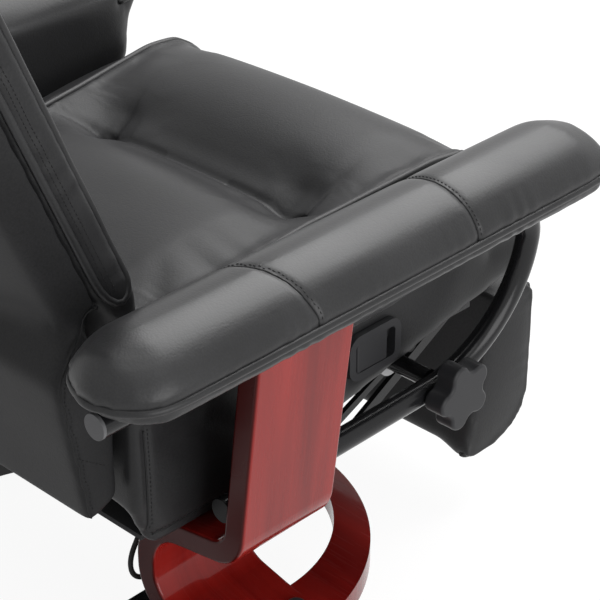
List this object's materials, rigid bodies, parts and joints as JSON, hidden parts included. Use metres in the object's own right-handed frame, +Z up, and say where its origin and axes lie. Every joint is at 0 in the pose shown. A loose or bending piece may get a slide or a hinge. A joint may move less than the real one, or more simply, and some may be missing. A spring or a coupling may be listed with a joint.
{
  "type": "swivel recliner",
  "caption": "Swivel recliner with black padded seat, back, arms and leg rest on bent ply side supports; the seat glides, the back reclines and the leg rest swings up.",
  "frame": {"origin": "on the floor, under the middle of the chair's overall length and width", "axes": "+Z up, -Y the way the sitter faces, -X the sitter's right"},
  "size_m": [0.74, 0.8274, 1.035],
  "materials": {
    "leather_black": "soft black upholstery leather, low sheen, fine grain",
    "ply_cherry": "bent ply, red cherry stain, glossy lacquer",
    "steel_black": "black powder coat, slight sheen",
    "steel_bright": "bright zinc plate",
    "plastic_black": "moulded black plastic, matt",
    "plastic_grey": "moulded dark grey plastic, matt",
    "rubber_black": "black rubber",
    "board_plain": "raw board, hidden in use",
    "fabric_black": "black dust cover"
  },
  "bodies": {
    "floor_base": {"foot_pads": "rubber_black", "floor_ring": "steel_black", "lower_race": "steel_bright", "race_balls": "steel_bright"},
    "chair_frame": {"upper_race": "steel_bright", "bearer_left": "steel_black", "bearer_right": "steel_black", "side_support_left": "ply_cherry", "side_support_right": "ply_cherry", "foot_bolts": "plastic_black", "arm_tube_left": "steel_black", "arm_tube_right": "steel_black", "tube_plugs": "plastic_grey", "arm_pad_left": "leather_black", "arm_pad_right": "leather_black", "clamp_spindle_left": "steel_black", "clamp_spindle_right": "steel_black", "clamp_washers": "plastic_grey"},
    "knob_left": {"star_knob_left": "plastic_black"},
    "knob_right": {"star_knob_right": "plastic_black"},
    "seat": {"seat_deck": "board_plain", "seat_side_left": "leather_black", "seat_side_right": "leather_black", "seat_rear_rail": "leather_black", "seat_front_rail": "leather_black", "bottom_board": "fabric_black", "seat_cushion": "leather_black", "glide_plate_left": "steel_black", "glide_plate_right": "steel_black", "brace_bar_left": "steel_black", "brace_bar_right": "steel_black", "stop_bumpers": "rubber_black", "handle_bezel": "plastic_black", "back_lugs": "steel_black", "leg_lugs": "steel_black", "lead_glands": "plastic_black", "slack_lead": "rubber_black"},
    "paddle": {"release_paddle": "plastic_grey"},
    "backrest": {"back_board": "board_plain", "back_cushion": "leather_black", "back_shell": "leather_black", "lower_back_cover": "leather_black", "back_arms": "steel_black"},
    "legrest": {"leg_board": "leather_black", "leg_pad": "leather_black", "leg_arms": "steel_black"}
  },
  "joints": [
    {"name": "swivel", "type": "hinge", "parent": "floor_base", "child": "chair_frame", "pos_m": [0, 0.01961, 0.0355], "axis": [0, 0, 1], "continuous": true},
    {"name": "seat_glide", "type": "slide", "parent": "chair_frame", "child": "seat", "axis": [0, -0.9205, 0.3907], "range_m": [0, 0.085]},
    {"name": "back_recline", "type": "hinge", "parent": "seat", "child": "backrest", "pos_m": [0, 0.14361, 0.251], "axis": [-1, 0, 0], "range_deg": [0, 24]},
    {"name": "legrest_swing", "type": "hinge", "parent": "seat", "child": "legrest", "pos_m": [0, -0.37039, 0.245], "axis": [-1, 0, 0], "range_deg": [0, 88]},
    {"name": "knob_turn_left", "type": "hinge", "parent": "chair_frame", "child": "knob_left", "pos_m": [0.31, -0.20839, 0.23], "axis": [1, 0, 0], "continuous": true},
    {"name": "knob_turn_right", "type": "hinge", "parent": "chair_frame", "child": "knob_right", "pos_m": [-0.31, -0.20839, 0.23], "axis": [-1, 0, 0], "continuous": true},
    {"name": "paddle_pull", "type": "hinge", "parent": "seat", "child": "paddle", "pos_m": [-0.261, -0.12939, 0.28], "axis": [0, 0, -1], "range_deg": [0, 30], "stiffness_Nm_per_rad": 0.1, "springref_deg": -17.19}
  ],
  "couplings": [
    {"joint": "back_recline", "follows": "seat_glide", "rad_per_m": 4.92}
  ]
}
